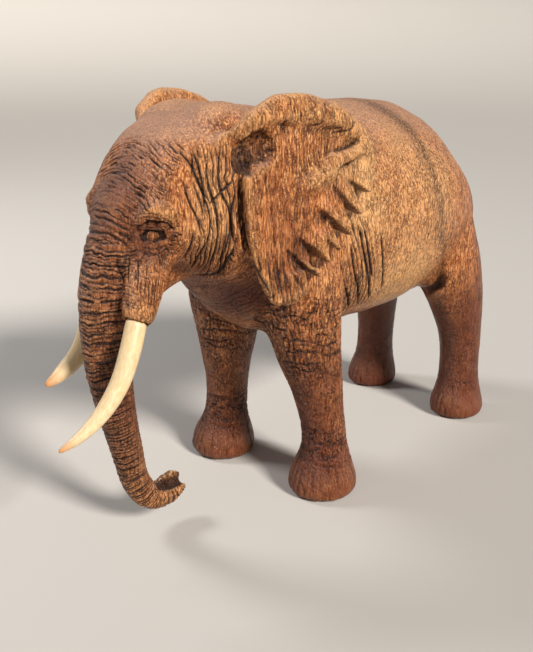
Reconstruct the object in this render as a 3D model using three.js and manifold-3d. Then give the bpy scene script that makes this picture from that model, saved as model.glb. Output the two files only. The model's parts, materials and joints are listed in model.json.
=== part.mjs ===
// A walking African elephant carved from one block of hardwood, with two separate tusks let into sockets.
// Millimetres, +Z up, the elephant faces -Y and its left side is +X. The soles stand on z = 0.
import * as THREE from "three";
import { LoftGeometry } from "three/addons/geometries/LoftGeometry.js";
import { mergeVertices } from "three/addons/utils/BufferGeometryUtils.js";
import Module from "manifold-3d";

// Driving dimensions.
const BACK_HEIGHT = 102; // top of the back above the soles
const STANCE_HALF_WIDTH = 18.5; // from the middle plane to a foot's centre
const STANCE_HALF_LENGTH = 36.5; // from mid-body to a foot's centre
const BODY_HALF_WIDTH = 26.5; // the widest place, at the belly
const FOOT_RADIUS = 9.8;
const SHIN_RADIUS = 6.3;
const EAR_RIM = 2.4; // thickness of an ear at its edge
const TENON_RADIUS = 1.5; // the round peg at the root of each tusk
const TENON_LENGTH = 5.5;
const GLUE_GAP = 0.3; // all round a tusk's root, for the adhesive

const wasm = await Module();
wasm.setup();

// --- Building blocks -------------------------------------------------------------------------

// A three.js geometry as a solid.
function solidOf(geometry) {
  const bare = new THREE.BufferGeometry();
  bare.setAttribute("position", geometry.getAttribute("position").clone());
  if (geometry.index) bare.setIndex(geometry.index.clone());
  const merged = mergeVertices(bare, 1e-4);
  return new wasm.Manifold(
    new wasm.Mesh({
      numProp: 3,
      vertProperties: new Float32Array(merged.getAttribute("position").array),
      triVerts: new Uint32Array(merged.index.array),
    }),
  );
}

// A solid as a three.js geometry.
function geometryOf(solid) {
  const mesh = solid.getMesh();
  const geometry = new THREE.BufferGeometry();
  geometry.setAttribute("position", new THREE.BufferAttribute(mesh.vertProperties, 3));
  geometry.setIndex(new THREE.BufferAttribute(mesh.triVerts, 1));
  geometry.computeVertexNormals();
  return geometry;
}

const union = (solids) => solids.reduce((sum, next) => sum.add(next));

// The same station list for the other side of the animal.
const mirrored = (stations) => stations.map(([x, ...rest]) => [-x, ...rest]);

// A smooth body of oval sections strung on a curve. Each station is [x, y, z, half width, half depth]:
// the half width lies along X, and the half depth lies square to it and to the curve.
// A crown narrows the side that the depth points to.
function limb(stations, { rings, sides, squareness = 2, crown = 0 }) {
  const path = new THREE.CatmullRomCurve3(stations.map(([x, y, z]) => new THREE.Vector3(x, y, z)));
  const sizes = new THREE.CatmullRomCurve3(stations.map(([, , , w, d]) => new THREE.Vector3(w, d, 0)));
  const across = new THREE.Vector3(1, 0, 0);
  const power = 2 / squareness;
  const sections = [];
  for (let i = 0; i <= rings; i++) {
    const t = i / rings;
    const centre = path.getPoint(t);
    const size = sizes.getPoint(t);
    const deep = new THREE.Vector3().crossVectors(path.getTangent(t), across).normalize();
    const section = [];
    for (let k = 0; k < sides; k++) {
      const angle = (k / sides) * 2 * Math.PI;
      const [c, s] = [Math.cos(angle), Math.sin(angle)];
      const narrowing = 1 - crown * Math.max(0, s) ** 2;
      const w = Math.sign(c) * Math.abs(c) ** power * size.x * narrowing;
      const d = Math.sign(s) * Math.abs(s) ** power * size.y;
      section.push(centre.clone().addScaledVector(across, w).addScaledVector(deep, d));
    }
    sections.push(section);
  }
  return solidOf(new LoftGeometry(sections, { capStart: true, capEnd: true }));
}

// A rounded mass: a sphere stretched to three radii, tipped about X by tilt degrees.
function mass([x, y, z], [rx, ry, rz], tilt = 0) {
  const geometry = new THREE.SphereGeometry(1, 16, 12);
  geometry.scale(rx, ry, rz).rotateX(THREE.MathUtils.degToRad(tilt)).translate(x, y, z);
  return solidOf(geometry);
}

// The same mass on both sides of the animal.
function massPair([x, y, z], radii, tilt) {
  return [mass([x, y, z], radii, tilt), mass([-x, y, z], radii, tilt)];
}

// A station of a barrel that lies along Y, given by its lowest and highest points and its half width.
const barrel = (y, bottom, top, halfWidth) => [0, y, (top + bottom) / 2, halfWidth, (top - bottom) / 2];

// --- The carved body -------------------------------------------------------------------------

// The barrel of the body, from the neck to the rump.
function torso() {
  return limb(
    [
      barrel(52, 60, 66, 3.5),
      barrel(49.5, 55, 72.5, 8),
      barrel(45.5, 50.5, 78, 12.6),
      barrel(39, 47, 83.5, 16.6),
      barrel(30, 44, 88.5, 20.8),
      barrel(19, 42, 94.5, 24.2),
      barrel(6, 41, BACK_HEIGHT - 0.8, BODY_HALF_WIDTH),
      barrel(-6, 41, BACK_HEIGHT, BODY_HALF_WIDTH),
      barrel(-20, 41.5, BACK_HEIGHT, 25.2),
      barrel(-36, 42, 101.2, 22.5),
      barrel(-50, 50.5, 99.5, 18.5),
      barrel(-60, 62, 96, 12),
    ],
    { rings: 20, sides: 32, squareness: 2.1, crown: 0.15 },
  );
}

// A foreleg: round sole, narrow shin, and a shoulder that widens into the chest.
function foreleg(side, stride) {
  const x = STANCE_HALF_WIDTH;
  const y = -STANCE_HALF_LENGTH + stride;
  const stations = [
    [x, y, 0, FOOT_RADIUS - 0.8, FOOT_RADIUS - 0.4],
    [x, y - 0.2, 3, FOOT_RADIUS - 0.3, FOOT_RADIUS],
    [x, y + 0.3, 8, FOOT_RADIUS - 1.8, FOOT_RADIUS - 1.6],
    [x - 0.5, y + 0.7, 14, SHIN_RADIUS - 0.2, SHIN_RADIUS + 0.2],
    [x - 1.2, y + 0.4, 21, SHIN_RADIUS - 0.2, SHIN_RADIUS],
    [x - 2.8, y - 0.8, 31, SHIN_RADIUS + 0.9, SHIN_RADIUS + 1],
    [x - 4.8, y - 2.4, 42, SHIN_RADIUS + 3, SHIN_RADIUS + 2.8],
    [x - 5.6, y - 3.6, 53, SHIN_RADIUS + 4.2, SHIN_RADIUS + 4.6],
    [x - 6, y - 2.6, 66, SHIN_RADIUS + 4, SHIN_RADIUS + 6.4],
    [x - 9, y + 1, 82, SHIN_RADIUS + 2, SHIN_RADIUS + 5.5],
    [x - 12, y + 3, 92, 4, 7],
  ];
  return limb(side > 0 ? stations : mirrored(stations), { rings: 20, sides: 20 });
}

// A hind leg: round sole, narrow hock, and a broad thigh.
function hindleg(side, stride) {
  const x = STANCE_HALF_WIDTH;
  const y = STANCE_HALF_LENGTH + stride;
  const stations = [
    [x, y, 0, FOOT_RADIUS - 1.4, FOOT_RADIUS - 1],
    [x, y - 0.2, 3, FOOT_RADIUS - 1, FOOT_RADIUS - 0.4],
    [x - 0.2, y + 0.2, 8, FOOT_RADIUS - 2.4, FOOT_RADIUS - 1.8],
    [x - 0.4, y + 0.3, 14, SHIN_RADIUS, SHIN_RADIUS + 0.5],
    [x - 0.6, y + 0.3, 21, SHIN_RADIUS, SHIN_RADIUS + 0.4],
    [x - 1, y - 0.4, 30, SHIN_RADIUS + 0.6, SHIN_RADIUS + 1.4],
    [x - 2, y - 3, 41, SHIN_RADIUS + 1.8, SHIN_RADIUS + 4],
    [x - 3.6, y - 7, 53, SHIN_RADIUS + 3, SHIN_RADIUS + 6.2],
    [x - 6.4, y - 11, 67, SHIN_RADIUS + 3.4, SHIN_RADIUS + 6.6],
    [x - 10.5, y - 14, 82, 6, 8],
  ];
  return limb(side > 0 ? stations : mirrored(stations), { rings: 18, sides: 20 });
}

// The middle line of the face and trunk, from inside the skull to the curled tip.
function trunk() {
  return limb(
    [
      [0, -72, 84, 11, 12],
      [0, -79.5, 78, 11, 11.5],
      [0, -84.5, 70.5, 9.2, 9.2],
      [0, -88.4, 62.5, 7.4, 7.4],
      [0, -90.3, 54.5, 6.2, 6.2],
      [0, -90.6, 46, 5.3, 5.3],
      [0, -89.6, 38, 4.7, 4.7],
      [0, -88.2, 30, 4.3, 4.2],
      [0, -86.6, 22, 3.9, 3.8],
      [0, -84.6, 14.5, 3.5, 3.4],
      [0, -80.6, 9, 3.3, 3.2],
      [0, -75.4, 7.9, 3.1, 2.9],
      [0, -71.2, 9.8, 2.9, 2.4],
    ],
    { rings: 28, sides: 16 },
  );
}

// The skull and neck as one broad barrel, with brows, tusk sheaths and a pointed lower jaw.
function head() {
  const sheathLeft = [
    [6, -78, 75, 5, 5],
    [9.4, -86.4, 67, 4.2, 4.6],
    [11.8, -90.6, 60.6, 3, 3],
  ];
  const sheathRight = [
    [-6, -78, 75, 5, 5],
    [-8.6, -85, 67, 4.2, 4.6],
    [-9.3, -87.3, 59.6, 3, 3],
  ];
  const jaw = [
    [0, -64, 70, 7, 7],
    [0, -73, 66.5, 5, 5],
    [0, -79, 61.5, 3.2, 3.2],
    [0, -82.5, 58.5, 1.8, 1.8],
  ];
  const skull = [
    barrel(-44, 54, 100, 21),
    barrel(-53, 57, 102.5, 21),
    barrel(-61, 60.5, 103, 20.2),
    barrel(-68, 63, 101.5, 18.6),
    barrel(-74, 65, 97.5, 16.6),
    barrel(-79, 67, 92.5, 14.8),
    barrel(-83.5, 70, 87, 12.2),
    barrel(-86.5, 74.5, 83, 7),
  ];
  return union([
    limb(skull, { rings: 14, sides: 28, squareness: 2.5 }),
    ...massPair([7, -62, 96], [8, 10.5, 7.6]),
    ...massPair([9.8, -80.4, 81.5], [4.6, 5.4, 4.4]),
    limb(sheathLeft, { rings: 5, sides: 14 }),
    limb(sheathRight, { rings: 5, sides: 14 }),
    limb(jaw, { rings: 6, sides: 12 }),
  ]);
}

// One ear, a broad cambered flap that grows out of the head and lies on the shoulder: thin round its
// edge and thick in the middle, where it joins the neck. Sections run from the bottom tip to the top
// edge; each is [z, front y, rear y, x at the front, x at the rear].
// The set-back moves the whole ear towards the tail.
function ear(side, setBack) {
  const stations = [
    [58.8, -61, -55.5, 23.5, 24.5],
    [62, -62.8, -50, 22.5, 26],
    [67, -64.5, -43.5, 21.5, 27],
    [73, -66, -38.5, 20.8, 27.6],
    [79, -66.8, -33.8, 20.4, 27.6],
    [85, -67.2, -29.6, 20.2, 27],
    [91, -68, -29.2, 20, 26.2],
    [97, -67, -32.6, 20, 25.2],
    [101.5, -64, -39.5, 20.4, 24.2],
    [104.8, -59.5, -50, 21.4, 23.2],
  ];
  const rings = 14;
  const columns = 10;
  const edges = new THREE.CatmullRomCurve3(
    stations.map(([z, front, rear]) => new THREE.Vector3(front, rear, z)),
  );
  const stand = new THREE.CatmullRomCurve3(
    stations.map(([, , , front, rear]) => new THREE.Vector3(front, rear, 0)),
  );
  const sections = [];
  for (let i = 0; i <= rings; i++) {
    const edge = edges.getPoint(i / rings);
    const reach = stand.getPoint(i / rings);
    const middling = Math.sin((Math.PI * i) / rings);
    const outer = [];
    const inner = [];
    for (let k = 0; k <= columns; k++) {
      const t = k / columns;
      const bulge = Math.sin(Math.PI * t);
      const y = THREE.MathUtils.lerp(edge.x, edge.y, t) + setBack;
      const x = THREE.MathUtils.lerp(reach.x, reach.y, t ** 0.8) + 1.2 * bulge;
      outer.push(new THREE.Vector3(side * (x + EAR_RIM / 2), y, edge.z));
      inner.unshift(new THREE.Vector3(side * (x - EAR_RIM / 2 - 6.5 * bulge * middling), y, edge.z));
    }
    sections.push(side > 0 ? [...outer, ...inner] : [...outer, ...inner].reverse());
  }
  return solidOf(new LoftGeometry(sections, { capStart: true, capEnd: true }));
}

// The tail lies in half relief down the rump, and ends in a small tuft.
function tail() {
  return limb(
    [
      [0, 39.5, 82.4, 2.2, 2.2],
      [0, 46.2, 76.6, 2.2, 2.2],
      [0, 50.4, 69.8, 2, 2],
      [0, 51.7, 63, 1.9, 1.9],
      [0, 50.6, 56.6, 1.9, 1.9],
      [0, 47.4, 51.6, 2.3, 2.4],
      [0, 43.6, 48.6, 1.7, 1.9],
    ],
    { rings: 12, sides: 10 },
  );
}

// --- The tusks ---------------------------------------------------------------------------------

// Each tusk is a curved taper from the mouth of its socket, and a straight round tenon behind it.
const TUSKS = {
  tusk_left: [
    [11.9, -91, 60, 2.35, 2.35],
    [12.7, -93.8, 54, 2.35, 2.35],
    [13.2, -97.2, 48, 2.2, 2.2],
    [13, -102, 42.6, 1.85, 1.85],
    [12.3, -107.4, 38.8, 1.3, 1.3],
    [11.5, -112.2, 36.9, 0.6, 0.6],
  ],
  tusk_right: [
    [-9.3, -87.4, 59, 2.35, 2.35],
    [-10.4, -88.2, 52.6, 2.4, 2.4],
    [-11.3, -90.4, 47, 2.4, 2.4],
    [-11.9, -94, 43.7, 2.1, 2.1],
    [-12.1, -97.2, 41.9, 1.5, 1.5],
    [-12.1, -99.8, 40.9, 0.7, 0.7],
  ],
};

// The straight line on which a tusk's tenon lies, from the mouth of the socket back into the head.
function tenonLine(stations) {
  const [mouth, next] = stations.map(([x, y, z]) => new THREE.Vector3(x, y, z));
  const inward = mouth.clone().sub(next).normalize();
  return { mouth, inward };
}

// A round rod along a line, long enough to overlap what it joins.
function rod(start, direction, length, radius) {
  const geometry = new THREE.CylinderGeometry(radius, radius, length, 14);
  geometry.translate(0, length / 2, 0);
  geometry.applyQuaternion(new THREE.Quaternion().setFromUnitVectors(new THREE.Vector3(0, 1, 0), direction));
  geometry.translate(start.x, start.y, start.z);
  return solidOf(geometry);
}

function tusk(stations) {
  const { mouth, inward } = tenonLine(stations);
  const start = mouth.clone().addScaledVector(inward, -1);
  return limb(stations, { rings: 12, sides: 14 }).add(rod(start, inward, TENON_LENGTH + 1, TENON_RADIUS));
}

// The hole for the tenon, with a shallow seat for the tusk's own end.
function socket(stations) {
  const { mouth, inward } = tenonLine(stations);
  const seatRadius = stations[0][3] + GLUE_GAP;
  const outside = mouth.clone().addScaledVector(inward, -12);
  return rod(mouth, inward, TENON_LENGTH + GLUE_GAP, TENON_RADIUS + GLUE_GAP).add(
    rod(outside, inward, 12 + GLUE_GAP, seatRadius),
  );
}

// --- Assembly ------------------------------------------------------------------------------------

// Everything below the soles is cut away, which leaves four flat faces to stand on.
function ground() {
  const geometry = new THREE.BoxGeometry(200, 400, 20);
  geometry.translate(0, 0, -10);
  return solidOf(geometry);
}

function carvedBody() {
  const carved = union([
    torso(),
    foreleg(1, 1),
    foreleg(-1, -1),
    hindleg(1, -1.5),
    hindleg(-1, 1.5),
    trunk(),
    head(),
    ear(1, 0),
    ear(-1, 4),
    tail(),
  ]);
  const sockets = union(Object.values(TUSKS).map(socket));
  return carved.subtract(ground()).subtract(sockets);
}

const wood = new THREE.MeshStandardMaterial({ color: 0x9a5c36, roughness: 0.55, metalness: 0 });
const bone = new THREE.MeshStandardMaterial({ color: 0xeadbb4, roughness: 0.35, metalness: 0 });

function piece(name, solid, material) {
  const mesh = new THREE.Mesh(geometryOf(solid), material);
  mesh.name = name;
  return mesh;
}

const elephant = new THREE.Group();
elephant.add(piece("body", carvedBody(), wood));
for (const [name, stations] of Object.entries(TUSKS)) elephant.add(piece(name, tusk(stations), bone));

// The origin is the middle of the box that holds the whole figure, at the height of the soles.
const middle = new THREE.Box3().setFromObject(elephant).getCenter(new THREE.Vector3());
elephant.position.set(-middle.x, -middle.y, 0);

const part = new THREE.Group();
part.add(elephant);
export default part;
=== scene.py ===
"""The looks of a walking elephant carved from one block of hardwood, with two pale tusks let in.

The CAD body is turned into a grid of distances, its masses are blended, and ears, cheeks and folds are
carved into the grid. It is then meshed, and eyes, wrinkles and toenails are carved into the mesh.
Lengths are millimetres in the elephant's own frame (it faces -Y, its left is +X, its soles are at z = 0)
until a mesh is handed to Blender, in metres in the row's frame.
"""

import json
import math
from collections import namedtuple

import bpy
import numpy as np
import openvdb
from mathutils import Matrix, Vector


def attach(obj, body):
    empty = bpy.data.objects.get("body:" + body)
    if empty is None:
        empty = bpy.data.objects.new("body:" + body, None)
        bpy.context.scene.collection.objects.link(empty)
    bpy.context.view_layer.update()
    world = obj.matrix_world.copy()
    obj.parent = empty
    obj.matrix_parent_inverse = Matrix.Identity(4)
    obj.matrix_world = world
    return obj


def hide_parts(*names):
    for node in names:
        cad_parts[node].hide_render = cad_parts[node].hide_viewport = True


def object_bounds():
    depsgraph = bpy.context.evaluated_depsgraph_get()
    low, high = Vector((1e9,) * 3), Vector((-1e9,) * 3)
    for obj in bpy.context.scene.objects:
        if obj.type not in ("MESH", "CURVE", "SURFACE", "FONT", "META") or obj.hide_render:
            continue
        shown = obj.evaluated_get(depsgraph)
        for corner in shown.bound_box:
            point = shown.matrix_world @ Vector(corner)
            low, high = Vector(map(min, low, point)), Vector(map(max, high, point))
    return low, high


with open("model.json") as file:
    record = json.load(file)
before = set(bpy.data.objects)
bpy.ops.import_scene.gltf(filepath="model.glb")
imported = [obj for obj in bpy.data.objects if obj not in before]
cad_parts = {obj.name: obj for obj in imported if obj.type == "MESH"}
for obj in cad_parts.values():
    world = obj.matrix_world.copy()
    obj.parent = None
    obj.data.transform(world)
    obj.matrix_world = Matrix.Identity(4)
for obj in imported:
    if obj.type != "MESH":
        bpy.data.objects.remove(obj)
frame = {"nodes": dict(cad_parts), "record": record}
cad_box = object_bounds()

FINE_STEP = 0.4  # grid step of the carving
BAND_STEPS = 11  # how many grid steps of distance are kept on each side of the surface
EAR_SETBACK = {1: 0.0, -1: 4.0}  # the right ear is carved further back than the left one
SIDES = (1, -1)  # left, right
SOLE_EDGE = 0.35  # the skin isn't carved below this height

# The elephant's frame starts midway between the four feet, which the record's sole mounts give.
soles = [m["pos_m"] for m in frame["record"]["mounts"] if m["name"].startswith("sole_")]
ORIGIN = np.array([0.0, sum(p[1] for p in soles) / len(soles) * 1000, 0.0])


def to_design(points_m):
    """From metres in the row's frame to millimetres in the elephant's own."""
    return np.asarray(points_m) * 1000 - ORIGIN


def to_row(points_mm):
    """From millimetres in the elephant's own frame to metres in the row's."""
    return (np.asarray(points_mm) + ORIGIN) / 1000


# --- Numbers without a pattern ---


def smooth(low, high, value):
    """0 at low, 1 at high, and a soft step between; low may be the larger."""
    share = np.clip((value - low) / (high - low), 0, 1)
    return share * share * (3 - 2 * share)


def band(value, start, full, last, end):
    """0 outside start to end, 1 from full to last, and soft steps between."""
    return smooth(start, full, value) * smooth(end, last, value)


def bell(offset, width):
    """1 where the offset is 0, fading softly over the width on both sides."""
    return np.exp(-((offset / width) ** 2))


def lattice(seed, *cells):
    """A repeatable random number from 0 to 1 for each cell of whole numbers."""
    value = np.full(np.shape(cells[0]), (seed * 374761393 + 1) & 0xFFFFFFFF, np.uint32)
    for cell, factor in zip(cells, (0x9E3779B1, 0x85EBCA77, 0xC2B2AE3D)):
        value = value ^ (cell.astype(np.int64).astype(np.uint32) * np.uint32(factor))
        value = (value ^ (value >> np.uint32(15))) * np.uint32(0x2C1B3C6D)
        value = value ^ (value >> np.uint32(12))
    return value / 2.0**32


def noise(seed, *places):
    """Smooth noise from 0 to 1 in as many dimensions as it has places."""
    cells = [np.floor(p) for p in places]
    shares = [p - c for p, c in zip(places, cells)]
    shares = [s * s * (3 - 2 * s) for s in shares]
    total = 0
    for corner in range(2 ** len(places)):
        bits = [(corner >> i) & 1 for i in range(len(places))]
        weight = 1
        for share, bit in zip(shares, bits):
            weight = weight * (share if bit else 1 - share)
        total = total + weight * lattice(seed, *[c + b for c, b in zip(cells, bits)])
    return total


def grooves(seed, across, along, spacing, length, width=0.17, cover=0.55, wander=1.0):
    """Knife lines that run along, side by side across: 1 in a line and 0 between.
    Each line wanders, starts and ends by itself, and has its own width, a share of the spacing."""
    drift = noise(seed, along / length, across / (5 * spacing)) - 0.5
    lane = across / spacing + wander * drift
    row = np.floor(lane)
    off = lane - row - 0.5
    dice = lattice(seed + 1, row)
    shown = noise(seed + 2, along / length + 40 * dice, row)
    shown = smooth(1 - cover - 0.12, 1 - cover + 0.12, shown)
    return bell(off, width * (0.6 + 0.9 * dice)) * shown


def cracks(seed, x, y, z, width=0.14):
    """A net of lines round uneven cells: 1 on a line and 0 inside a cell."""
    place = [x, y, z]
    home = [np.floor(p) for p in place]
    first = np.full(x.shape, 9.0)
    second = np.full(x.shape, 9.0)
    for dx in (-1, 0, 1):
        for dy in (-1, 0, 1):
            for dz in (-1, 0, 1):
                cell = [h + d for h, d in zip(home, (dx, dy, dz))]
                gap = 0
                for axis in range(3):
                    point = cell[axis] + lattice(seed + axis, *cell)
                    gap = gap + (point - place[axis]) ** 2
                gap = np.sqrt(gap)
                second = np.minimum(second, np.maximum(first, gap))
                first = np.minimum(first, gap)
    return smooth(width, 0.02, second - first)


# --- The block of wood as a grid of distances ---


def triangles_of(node):
    """A CAD node's corners in design millimetres, and its triangles."""
    mesh = frame["nodes"][node].data
    corners = np.empty(len(mesh.vertices) * 3)
    mesh.vertices.foreach_get("co", corners)
    mesh.calc_loop_triangles()
    faces = np.empty(len(mesh.loop_triangles) * 3, np.int32)
    mesh.loop_triangles.foreach_get("vertices", faces)
    return to_design(corners.reshape(-1, 3)), faces.reshape(-1, 3)


class Block:
    """Distances to a surface on a regular grid: negative in the wood, positive in the air."""

    def __init__(self, node, step, margin=6):
        points, faces = triangles_of(node)
        self.step = step
        spacing = openvdb.createLinearTransform(step)
        grid = openvdb.FloatGrid.createLevelSetFromPolygons(
            points.astype(np.float64),
            triangles=faces.astype(np.uint32),
            transform=spacing,
            halfWidth=float(BAND_STEPS),
        )
        low, high = grid.evalActiveVoxelBoundingBox()
        self.first = np.array(low) - margin
        shape = np.array(high) + margin - self.first + 1
        self.values = np.empty(tuple(int(n) for n in shape), np.float32)
        grid.copyToArray(self.values, ijk=tuple(int(n) for n in self.first))

    def axes(self):
        return [(self.first[i] + np.arange(self.values.shape[i])) * self.step for i in range(3)]

    def blurred(self, reach):
        """The grid after a Gaussian blur of that reach in millimetres."""
        taps = int(math.ceil(2.6 * reach / self.step))
        weights = np.exp(-0.5 * (np.arange(-taps, taps + 1) * self.step / reach) ** 2)
        weights /= weights.sum()
        out = self.values
        for axis in range(3):
            padded = np.pad(out, [(taps, taps) if i == axis else (0, 0) for i in range(3)], mode="edge")
            total = np.zeros_like(out)
            for k, weight in enumerate(weights):
                window = [slice(None)] * 3
                window[axis] = slice(k, k + out.shape[axis])
                total += np.float32(weight) * padded[tuple(window)]
            out = total
        return out

    def window(self, low, high):
        """The slices of the grid between two corners, and their open coordinates."""
        slices, coordinates = [], []
        for axis, line in enumerate(self.axes()):
            start = int(np.searchsorted(line, low[axis]))
            stop = max(int(np.searchsorted(line, high[axis])), start + 1)
            slices.append(slice(start, stop))
            shape = [1, 1, 1]
            shape[axis] = -1
            coordinates.append(line[start:stop].reshape(shape))
        return tuple(slices), coordinates

    def sample(self, points, values=None):
        """The grid's value at each point, between its neighbours."""
        values = self.values if values is None else values
        place = points / self.step - self.first
        place = np.clip(place, 0, np.array(values.shape) - 1.001)
        cell = place.astype(np.int64)
        share = (place - cell).astype(np.float32)
        total = np.zeros(len(points), np.float32)
        for corner in range(8):
            bits = [(corner >> i) & 1 for i in range(3)]
            weight = np.ones(len(points), np.float32)
            for axis in range(3):
                weight *= share[:, axis] if bits[axis] else 1 - share[:, axis]
            total += weight * values[cell[:, 0] + bits[0], cell[:, 1] + bits[1], cell[:, 2] + bits[2]]
        return total

    def slope(self, points, values=None):
        """The direction in which the distance grows, which is outward, with its length."""
        out = np.empty_like(points)
        for axis in range(3):
            shift = np.zeros(3)
            shift[axis] = self.step
            ahead = self.sample(points + shift, values)
            out[:, axis] = (ahead - self.sample(points - shift, values)) / (2 * self.step)
        return out

    def settle(self, points, rounds=2):
        """Moves points onto the surface."""
        for _ in range(rounds):
            slope = self.slope(points)
            size = np.maximum((slope**2).sum(1), 0.15)  # keeps the step short on a nearly flat slope
            points = points - (self.sample(points) / size)[:, None] * slope
        return points

    def tube(self, line, radii, blend, dig=False):
        """Adds (or digs out) a round bar along a line, with a soft joint blend wide."""
        line = np.array(line, float)
        radii = np.interp(np.linspace(0, 1, len(line)), np.linspace(0, 1, len(radii)), radii)
        reach = radii.max() + blend + 2 * self.step
        slices, (x, y, z) = self.window(line.min(0) - reach, line.max(0) + reach)
        best = None
        for a, b, ra, rb in zip(line[:-1], line[1:], radii[:-1], radii[1:]):
            run = b - a
            share = ((x - a[0]) * run[0] + (y - a[1]) * run[1] + (z - a[2]) * run[2]) / (run @ run)
            share = np.clip(share, 0, 1)
            gap = np.sqrt(
                (x - a[0] - share * run[0]) ** 2
                + (y - a[1] - share * run[1]) ** 2
                + (z - a[2] - share * run[2]) ** 2
            )
            bar = gap - (ra + share * (rb - ra))
            best = bar if best is None else np.minimum(best, bar)
        self.join(slices, best, blend, dig)

    def ball(self, centre, radii, blend, dig=False, turn=0.0):
        """Adds (or digs out) an oval ball, turned about X by that many degrees."""
        reach = max(radii) + blend + 2 * self.step
        centre = np.array(centre, float)
        slices, (x, y, z) = self.window(centre - reach, centre + reach)
        c, s = math.cos(math.radians(turn)), math.sin(math.radians(turn))
        dx, dy, dz = x - centre[0], y - centre[1], z - centre[2]
        dy, dz = c * dy + s * dz, c * dz - s * dy
        size = np.sqrt((dx / radii[0]) ** 2 + (dy / radii[1]) ** 2 + (dz / radii[2]) ** 2)
        self.join(slices, (size - 1) * min(radii), blend, dig)

    def join(self, slices, shape, blend, dig):
        """Joins a shape's distances to the wood, or takes them out of it."""
        wood = self.values[slices]
        shape = -shape if dig else shape
        overlap = np.maximum(blend - np.abs(wood - shape), 0) ** 2 / (4 * blend)
        joined = np.maximum(wood, shape) + overlap if dig else np.minimum(wood, shape) - overlap
        self.values[slices] = joined.astype(np.float32)

    def push(self, centre, reach, depth):
        """Presses the surface in round a point by depth (out, if negative), fading over reach."""
        centre = np.array(centre, float)
        slices, (x, y, z) = self.window(centre - 2.5 * reach, centre + 2.5 * reach)
        away = (x - centre[0]) ** 2 + (y - centre[1]) ** 2 + (z - centre[2]) ** 2
        self.values[slices] += (depth * np.exp(-away / reach**2)).astype(np.float32)

    def quads(self, stride=1):
        """The surface as corners and four-sided faces, from every stride-th point of the grid."""
        coarse = np.ascontiguousarray(self.values[::stride, ::stride, ::stride])
        grid = openvdb.FloatGrid(float(coarse.max()))
        grid.copyFromArray(coarse)
        points, faces = grid.convertToQuads(isovalue=0.0)
        points = (points.astype(float) * stride + self.first) * self.step
        return points, faces.astype(np.int64)


def curve_through(points, count):
    """Evenly spread points of a smooth curve through a few given ones."""
    points = np.array(points, float)
    if len(points) < 3:
        return np.linspace(points[0], points[-1], count)
    ends = np.vstack([2 * points[0] - points[1], points, 2 * points[-1] - points[-2]])
    out = []
    for t in np.linspace(0, len(points) - 1, count):
        i = min(int(t), len(points) - 2)
        f = t - i
        p0, p1, p2, p3 = ends[i : i + 4]
        bend, twist = 2 * p0 - 5 * p1 + 4 * p2 - p3, 3 * p1 - p0 - 3 * p2 + p3
        out.append(0.5 * (2 * p1 + (p2 - p0) * f + bend * f**2 + twist * f**3))
    return np.array(out)


def on_side(points, side, setback=0.0):
    """Points of the left side (1), or their mirror on the right (-1), moved back by the setback."""
    return np.array(points, float) * [side, 1, 1] + [0, setback, 0]


def on_ear(points, side):
    """Points of the left ear, or the same points of the right ear, which sits further back."""
    return on_side(points, side, EAR_SETBACK[side])


# --- Forms carved into the grid ---
# Lines and spots are given for the left side, apart from SHEATHS and what lies near the middle.

# The grooves that pleat the rear edge of an ear, each from its fine start to its notch.
EAR_PLEATS = [
    [(27.2, -42.2, 86.8), (28.3, -37.1, 84.6), (29.6, -32.0, 81.2), (29.4, -29.0, 79.2)],
    [(26.6, -46.6, 86.4), (28.4, -41.3, 81.6), (29.8, -36.9, 77.4), (29.4, -34.4, 75.2)],
    [(26.6, -50.6, 80.8), (28.3, -45.5, 77.3), (29.6, -41.0, 73.4), (29.2, -38.8, 71.6)],
    [(27.9, -47.8, 73.2), (28.7, -45.6, 71.4), (29.4, -43.2, 69.4), (29.2, -41.2, 67.8)],
    [(26.2, -55.9, 75.4), (27.8, -51.4, 71.5), (29.0, -46.6, 67.2), (28.8, -44.2, 65.4)],
    [(25.2, -60.0, 73.6), (27.2, -54.9, 68.4), (28.6, -49.3, 63.6), (28.4, -46.8, 61.8)],
]
PLEAT_DEPTH = 2.7
PLEAT_WIDTH = 4.8  # from a pleat's wall to where the ear is back at its own level
EAR_TOP_RIM = [
    (17.5, -66.6, 97.2), (20.2, -64.6, 100.6), (22.6, -60.8, 102.8), (24.2, -55.5, 103.2), (25, -50, 102.2),
    (25.4, -45, 101), (26, -40, 98.8), (26.8, -35, 95), (27.2, -31.8, 90.2),
]
EAR_LOBE = [(24.2, -56, 100.4), (25.2, -50, 100.6), (25.7, -45, 100), (26, -41, 97.8)]
LOBE_KNOBS = [((26.2, -44.6, 100.2), (1.9, 3.0, 2.4), -25), ((26.6, -38.6, 96.8), (1.7, 2.6, 2.2), -40)]
# The two balls that dig the hollow under the rim, and the larger ovals in which shade is painted round them.
EAR_HOLLOW = [
    ((22.6, -64, 94.2), (3.5, 3.8, 3.9), (9, 3.7, 4.1)),
    ((21.2, -66.4, 91.6), (3.0, 2.4, 3.2), (9, 2.6, 3.6)),
]
EAR_BROW = [(18.2, -67.2, 97.6), (21.2, -65.2, 99.8), (23.3, -61.8, 100.6), (24.6, -57.6, 100.4)]
EAR_ROOT_KNOB = (15.8, -68.6, 94.4)
EAR_UPPER_DISH = (28.4, -51, 93.2)
EAR_LOWER_DISH = (26.4, -56, 76)
EAR_CREASE = [(24.6, -57.5, 96.7), (25.6, -52.5, 97.2), (26.4, -47.5, 96.5), (26.9, -43.4, 97.8)]
EAR_CREASE_LOW = [(26.6, -46.2, 93.2), (27.3, -42, 93.2), (27.6, -37.5, 94), (27.4, -34.8, 95.4)]
EAR_BAND = [(24.6, -57.5, 83.6), (25.9, -50.5, 86.2), (26.7, -44.5, 89.2)]
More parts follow.
